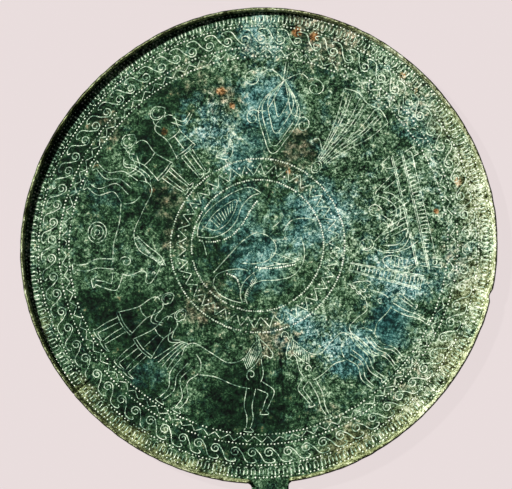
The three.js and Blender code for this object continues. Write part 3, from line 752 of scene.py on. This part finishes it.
# Fine scratches that an old cleaning left.
SCRATCHED = [(4, -46, 18, 1), (-15, 6, 16, 0.5), (46, 18, 14, 0.4)]
# Each skin runs from its pits to its highest grain, at these levels, and the deposit from thin to thick.
SKIN_STOPS = [0, 0.3, 0.52, 0.76, 1]
GREEN_SKIN = ["#010603", "#112E18", "#426844", "#96B68F", "#F0FBE2"]
BLUE_SKIN = ["#03171A", "#1C4A46", "#578F8A", "#A4D0C8", "#F4FFF6"]
BROWN_SKIN = ["#0C0A05", "#3E3624", "#7F7660", "#C2B696", "#FBF1D6"]
CRUST_SKIN = ["#0A0A03", "#484E26", "#9AA46C", "#E2E6B4", "#FFFFEC"]
COPPER_SKIN = ["#160A03", "#4E3014", "#8A5E30", "#C99A62", "#F4DCB0"]
DEPOSIT_STOPS = [0.4, 0.52, 0.62, 0.75]
LINE_DEPOSIT = ["#24463A", "#789C80", "#BED6B6", "#F2F9E2"]
BEAD_DEPOSIT = ["#4A6A50", "#B4CEAE", "#EAF5DA", "#FFFFF0"]
# Sizes of the patterns in millimetres. Grain and clouds also have how strongly they show, and grain how rough
# it is. The patches' borders stray by up to about half the drift's reach.
GRAIN = [(1.7, 1.1, 0.7), (0.75, 3.1, 0.9)]
CLOUDS = [(10, 0.8), (3, 1.1)]
SCRATCH_SIZE = 1.1
FLECK_SIZE = 4.5
RUST_SIZE = 3
DRIFT = {"size": 9, "reach": 22}
# The level of the skin is 0 in its pits and 1 on its highest grain. Its mean, and what shifts it.
MEAN_LEVEL = 0.395
# The shift on the outward-facing outside of the edge is painted shade.
SHIFT = {"scratch": 1.6, "dark": -0.215, "pale": 0.17, "blue": 0.05, "painted_outer_shade": -0.3}


def linear(colour):
    """An sRGB hex colour as the linear values that a shader takes."""
    parts = [int(colour[i : i + 2], 16) / 255 for i in (1, 3, 5)]
    return [*(part / 12.92 if part <= 0.04045 else ((part + 0.055) / 1.055) ** 2.4 for part in parts), 1]


def add(tree, kind, inputs=(), stops=(), output=0, **settings):
    """Adds a node and gives one output. An input takes a value, or the output that feeds it."""
    made = tree.nodes.new(kind)
    for name, value in settings.items():
        setattr(made, name, value)
    for name, value in inputs.items() if isinstance(inputs, dict) else enumerate(inputs):
        if isinstance(value, bpy.types.NodeSocket):
            tree.links.new(value, made.inputs[name])
        else:
            made.inputs[name].default_value = value
    for i, (place, colour) in enumerate(stops):
        element = made.color_ramp.elements[i] if i < 2 else made.color_ramp.elements.new(place)
        element.position = place
        element.color = linear(colour)
    return made.outputs[output] if len(made.outputs) else None


def mottle(tree, place, size, detail=6, rough=0.65):
    """A cloudy pattern with features of this size in millimetres, as much under 0 as over it."""
    settings = {"Vector": place, "Scale": 1000 / size, "Detail": detail, "Roughness": rough}
    cloud = add(tree, "ShaderNodeTexNoise", settings)
    return add(tree, "ShaderNodeMath", (cloud, 0.5), operation="SUBTRACT")


def patches(tree, place, spots):
    """Each patch's strength in the middle of it, fading to 0 at its reach."""
    total = 0
    for x, y, reach, strength in spots:
        middle = (x * MM, y * MM, FACE * MM)
        away = add(tree, "ShaderNodeVectorMath", (place, middle), output="Value", operation="DISTANCE")
        fade = {"Value": away, "From Min": reach * MM, "From Max": 0.25 * reach * MM, "To Max": strength}
        spot = add(tree, "ShaderNodeMapRange", fade, interpolation_type="SMOOTHSTEP")
        total = add(tree, "ShaderNodeMath", (total, spot), operation="MAXIMUM")
    return total


def new_material(name):
    """A material with an empty tree."""
    material = bpy.data.materials.new(name)
    material.use_nodes = True
    material.node_tree.nodes.clear()
    return material, material.node_tree


def mineral_skin(tree):
    """The patina: its colour, its level, and the coordinates that they are drawn in."""
    place = add(tree, "ShaderNodeTexCoord", output="Object")
    wander = {"Vector": place, "Scale": 1000 / DRIFT["size"], "Detail": 5, "Roughness": 0.7}
    wander = add(tree, "ShaderNodeTexNoise", wander, output="Color")
    wander = add(tree, "ShaderNodeVectorMath", (wander, (0.5, 0.5, 0.5)), operation="SUBTRACT")
    wander = add(tree, "ShaderNodeVectorMath", {0: wander, "Scale": DRIFT["reach"] * MM}, operation="SCALE")
    strayed = add(tree, "ShaderNodeVectorMath", (place, wander), operation="ADD")
    dark = patches(tree, strayed, DARK_PATCHES)
    blue = patches(tree, strayed, BLUE_PATCHES)
    brown = patches(tree, strayed, BROWN_PATCHES)
    pale = patches(tree, strayed, PALE_PATCHES)

    # The real grain is a tenth of a millimetre; it is drawn at three quarters of one so that it shows. It is
    # smooth in the dense dark skin, and coarse where pale salts stand on it.
    level = 0
    for size, weight, rough in GRAIN:
        grain = mottle(tree, place, size, 3, rough)
        level = add(tree, "ShaderNodeMath", (grain, weight, level), operation="MULTIPLY_ADD")
    coarse = add(tree, "ShaderNodeMath", (dark, -0.4, 0.62), operation="MULTIPLY_ADD")
    coarse = add(tree, "ShaderNodeMath", (pale, 0.45, coarse), operation="MULTIPLY_ADD")
    level = add(tree, "ShaderNodeMath", (level, coarse, MEAN_LEVEL), operation="MULTIPLY_ADD")
    for size, weight in CLOUDS:
        cloud = mottle(tree, place, size, 4)
        level = add(tree, "ShaderNodeMath", (cloud, weight, level), operation="MULTIPLY_ADD")
    drawn_out = add(tree, "ShaderNodeVectorMath", (place, (1, 0.06, 1)), operation="MULTIPLY")
    scratch = (mottle(tree, drawn_out, SCRATCH_SIZE, 3, 0.8), patches(tree, strayed, SCRATCHED))
    scratch = add(tree, "ShaderNodeMath", scratch, operation="MULTIPLY")
    for cause, share in (("scratch", scratch), ("dark", dark), ("pale", pale), ("blue", blue)):
        level = add(tree, "ShaderNodeMath", (share, SHIFT[cause], level), operation="MULTIPLY_ADD")

    # Painted shade: the outside of the edge is darkened wherever it faces outwards, for the shade on the rim's
    # outer wall.
    plan = add(tree, "ShaderNodeVectorMath", (place, (1, 1, 0)), operation="MULTIPLY")
    outward = add(tree, "ShaderNodeVectorMath", (plan,), operation="NORMALIZE")
    facing = (outward, add(tree, "ShaderNodeTexCoord", output="Normal"))
    facing = add(tree, "ShaderNodeVectorMath", facing, output="Value", operation="DOT_PRODUCT")
    painted_outer_shade = add(tree, "ShaderNodeMapRange", {"Value": facing, "From Min": 0.45, "From Max": 0.8})
    level = (painted_outer_shade, SHIFT["painted_outer_shade"], level)
    level = add(tree, "ShaderNodeMath", level, operation="MULTIPLY_ADD", use_clamp=True)

    # Blue and green salts grow through each other in flecks, most where the skin is pale.
    busy = add(tree, "ShaderNodeMath", (pale, 2.4, 1.6), operation="MULTIPLY_ADD")
    flecks = (mottle(tree, place, FLECK_SIZE, 5, 0.8), busy)
    flecks = add(tree, "ShaderNodeMath", flecks, operation="MULTIPLY")
    blued = add(tree, "ShaderNodeMath", (blue, 0.8, flecks), operation="MULTIPLY_ADD")
    blued = add(tree, "ShaderNodeMath", (blued, 1.4, -0.1), operation="MULTIPLY_ADD", use_clamp=True)

    # Brown cuprite and bare copper break through in the same small blotches.
    rusty = mottle(tree, place, RUST_SIZE, 5, 0.75)
    browned = add(tree, "ShaderNodeMath", (rusty, 4, -0.52), operation="MULTIPLY_ADD")
    browned = add(tree, "ShaderNodeMath", (brown, 1.04, browned), operation="MULTIPLY_ADD", use_clamp=True)
    coppered = add(tree, "ShaderNodeMath", (rusty, 5, -0.6), operation="MULTIPLY_ADD")
    coppered = (patches(tree, place, COPPER_SPOTS), 2, coppered)
    coppered = add(tree, "ShaderNodeMath", coppered, operation="MULTIPLY_ADD", use_clamp=True)

    # A yellowish crust lies in patches near the edge and all along the rim, but is thinned under the painted
    # shade on the outside of the edge.
    height = add(tree, "ShaderNodeSeparateXYZ", (place,), output="Z")
    on_rim = add(tree, "ShaderNodeMapRange", {"Value": height, "From Min": 2.72 * MM, "From Max": 3.4 * MM})
    crust = (patches(tree, strayed, CRUST_PATCHES), on_rim)
    crust = add(tree, "ShaderNodeMath", crust, operation="MAXIMUM")
    # Less crust where the painted shade darkens the outside of the edge.
    crust_left_by_shade = add(tree, "ShaderNodeMath", (painted_outer_shade, -0.7, 1), operation="MULTIPLY_ADD")
    crust = add(tree, "ShaderNodeMath", (crust, crust_left_by_shade), operation="MULTIPLY")
    crusted = add(tree, "ShaderNodeMath", (crust, 0.09, level), operation="MULTIPLY_ADD")
    crust = add(tree, "ShaderNodeMath", (crust, 0.85), operation="MULTIPLY")

    skins = [(1, level, GREEN_SKIN), (blued, level, BLUE_SKIN), (browned, level, BROWN_SKIN),
             (coppered, level, COPPER_SKIN), (crust, crusted, CRUST_SKIN)]
    colour = (0, 0, 0, 1)
    for share, grain, skin in skins:
        over = add(tree, "ShaderNodeValToRGB", (grain,), zip(SKIN_STOPS, skin))
        colour = add(tree, "ShaderNodeMix", {0: share, 6: colour, 7: over}, output=2, data_type="RGBA")
    return colour, level, place


# Old patina on cast bronze: matt, but the densest parts keep a low sheen.
patina, tree = new_material("patina_on_bronze")
colour, level, place = mineral_skin(tree)
relief = add(tree, "ShaderNodeMath", (mottle(tree, place, 2.4), 0.8, level), operation="MULTIPLY_ADD")
bump = add(tree, "ShaderNodeBump", {"Height": relief, "Strength": 0.7, "Distance": 0.3 * MM})
roughness = add(tree, "ShaderNodeMath", (level, 0.2, 0.6), operation="MULTIPLY_ADD")
matt = {"Base Color": colour, "Roughness": roughness, "Metallic": 0.2, "Specular IOR Level": 0.12}
shader = add(tree, "ShaderNodeBsdfPrincipled", {**matt, "Normal": bump})
add(tree, "ShaderNodeOutputMaterial", {"Surface": shader})

# Chalky deposit and corrosion fill the engraved lines and the punched dots, and make them pale. Here and
# there they have worn thin and the patina shows through.
deposits = []
for name, colours in (("chalky_deposit_in_lines", LINE_DEPOSIT), ("chalky_deposit_in_dots", BEAD_DEPOSIT)):
    deposit, tree = new_material(name)
    colour, level, place = mineral_skin(tree)
    thick = add(tree, "ShaderNodeMath", (level, 0.3, 0.5), operation="MULTIPLY_ADD")
    thick = add(tree, "ShaderNodeMath", (thick, mottle(tree, place, 1.6, 3, 0.7)), operation="ADD")
    chalk = add(tree, "ShaderNodeValToRGB", (thick,), zip(DEPOSIT_STOPS, colours))
    whole = (mottle(tree, place, 14), 4, 1.04)
    whole = add(tree, "ShaderNodeMath", whole, operation="MULTIPLY_ADD", use_clamp=True)
    whole = add(tree, "ShaderNodeMath", (whole, 0.5, 0.48), operation="MULTIPLY_ADD")
    chalk = add(tree, "ShaderNodeMix", {0: whole, 6: colour, 7: chalk}, output=2, data_type="RGBA")
    dull = {"Base Color": chalk, "Roughness": 0.85, "Specular IOR Level": 0.2}
    shader = add(tree, "ShaderNodeBsdfPrincipled", dull)
    add(tree, "ShaderNodeOutputMaterial", {"Surface": shader})
    deposits.append(deposit)

mesh.materials.append(patina)
mesh.materials.append(deposits[0])

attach(casting, "root")
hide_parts("mirror")


# ---- The beads in the punched dots ---------------------------------------------------------------
# Each struck dot holds a bead of the same chalky deposit as the lines, level with the face or a little proud
# of it. Here and there one has dropped out.

BEADS = {"Bead radius": 0.34 * MM, "Flatness": 0.6, "Smallest": 0.75, "Largest": 1.15, "Missing": 0.05,
         "Seed": 5}
SUNK = 0.06

at = np.column_stack([hammered(dots), face_height(dots) - SUNK]) * MM

tree = bpy.data.node_groups.new("beads_of_deposit", "GeometryNodeTree")
tree.interface.new_socket("Geometry", in_out="INPUT", socket_type="NodeSocketGeometry")
for name, value in BEADS.items():
    kind = "NodeSocketInt" if isinstance(value, int) else "NodeSocketFloat"
    tree.interface.new_socket(name, in_out="INPUT", socket_type=kind)
tree.interface.new_socket("Geometry", in_out="OUTPUT", socket_type="NodeSocketGeometry")
given = tree.nodes.new("NodeGroupInput").outputs
missing = {6: given["Missing"], 8: given["Seed"]}
missing = add(tree, "FunctionNodeRandomValue", missing, output=3, data_type="BOOLEAN")
kept = add(tree, "GeometryNodeDeleteGeometry", {"Geometry": given["Geometry"], "Selection": missing})
bead = add(tree, "GeometryNodeMeshUVSphere", {"Segments": 7, "Rings": 4, "Radius": given["Bead radius"]})
low = add(tree, "ShaderNodeCombineXYZ", (1, 1, given["Flatness"]))
bead = add(tree, "GeometryNodeTransform", {"Geometry": bead, "Scale": low})
size = {2: given["Smallest"], 3: given["Largest"], 8: given["Seed"]}
size = add(tree, "FunctionNodeRandomValue", size, output=1, data_type="FLOAT")
placed = add(tree, "GeometryNodeInstanceOnPoints", {"Points": kept, "Instance": bead, "Scale": size})
solid = add(tree, "GeometryNodeRealizeInstances", (placed,))
smoothed = add(tree, "GeometryNodeSetShadeSmooth", (solid,))
coated = add(tree, "GeometryNodeSetMaterial", {"Geometry": smoothed, "Material": deposits[1]})
add(tree, "NodeGroupOutput", (coated,))

struck_at = bpy.data.meshes.new("struck_at")
struck_at.from_pydata(at, [], [])
beads = bpy.data.objects.new("beads_of_deposit", struck_at)
bpy.context.scene.collection.objects.link(beads)
modifier = beads.modifiers.new("beads", "NODES")
modifier.node_group = tree
for item in tree.interface.items_tree:
    if item.in_out == "INPUT" and item.name in BEADS:
        modifier[item.identifier] = BEADS[item.name]
whole = bpy.data.meshes.new_from_object(beads.evaluated_get(bpy.context.evaluated_depsgraph_get()))
beads.modifiers.clear()
beads.data = whole

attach(beads, "root")
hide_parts("mirror")


# ---- Floor, light and camera ---------------------------------------------------------------------
# The mirror lies on a plain pale board under one low light from the upper left, as for a catalogue plate. The
# camera hangs straight above the disc, turned a little, close enough to leave out most of the tang.

FRAME_WIDTH = 183.2
CAMERA_HEIGHT = 1500
CAMERA_OFFSET = (-0.38, 0.38)
CAMERA_ROLL = -3.1
KEY = {"energy": 6.2, "softness": 3, "azimuth": 142, "elevation": 35}
FILL = {"strength": 0.04, "colour": (0.9, 0.95, 1, 1)}
BOARD_COLOUR = "#E8DCDC"
BOARD_HALF = 2
BOARD_LEVEL = -0.1 * MM
# The board is lit evenly from within, and only this share of it takes the mirror's shadow.
BOARD_SHADED = 0.035

board = bpy.data.meshes.new("board")
corners = [(-BOARD_HALF, -BOARD_HALF), (BOARD_HALF, -BOARD_HALF), (BOARD_HALF, BOARD_HALF),
           (-BOARD_HALF, BOARD_HALF)]
board.from_pydata([(x, y, BOARD_LEVEL) for x, y in corners], [], [(0, 1, 2, 3)])
floor = bpy.data.objects.new("floor", board)
bpy.context.scene.collection.objects.link(floor)
painted, tree = new_material("pale_painted_board")
shaded = [BOARD_SHADED * part for part in linear(BOARD_COLOUR)[:3]] + [1]
paint = {"Base Color": shaded, "Roughness": 0.9, "Specular IOR Level": 0.1,
         "Emission Color": linear(BOARD_COLOUR), "Emission Strength": 1 - BOARD_SHADED}
shader = add(tree, "ShaderNodeBsdfPrincipled", paint)
add(tree, "ShaderNodeOutputMaterial", {"Surface": shader})
board.materials.append(painted)

camera = bpy.data.objects.new("camera", bpy.data.cameras.new("camera"))
bpy.context.scene.collection.objects.link(camera)
camera.data.sensor_width = 36
camera.data.lens = camera.data.sensor_width * (CAMERA_HEIGHT - FACE) / FRAME_WIDTH
camera.data.clip_end = 10
roll = math.radians(CAMERA_ROLL)
right, up = CAMERA_OFFSET
camera.location = ((right * math.cos(roll) - up * math.sin(roll)) * MM,
                   (right * math.sin(roll) + up * math.cos(roll)) * MM, CAMERA_HEIGHT * MM)
camera.rotation_euler = (0, 0, roll)
bpy.context.scene.camera = camera

key = bpy.data.objects.new("key", bpy.data.lights.new("key", "SUN"))
bpy.context.scene.collection.objects.link(key)
key.data.energy = KEY["energy"]
key.data.angle = math.radians(KEY["softness"])
key.rotation_euler = (math.radians(90 - KEY["elevation"]), 0, math.radians(KEY["azimuth"] + 90))

world = bpy.data.worlds.new("studio")
bpy.context.scene.world = world
world.use_nodes = True
sky = world.node_tree.nodes["Background"]
sky.inputs["Color"].default_value = FILL["colour"]
sky.inputs["Strength"].default_value = FILL["strength"]
bpy.context.scene.view_settings.view_transform = "Standard"
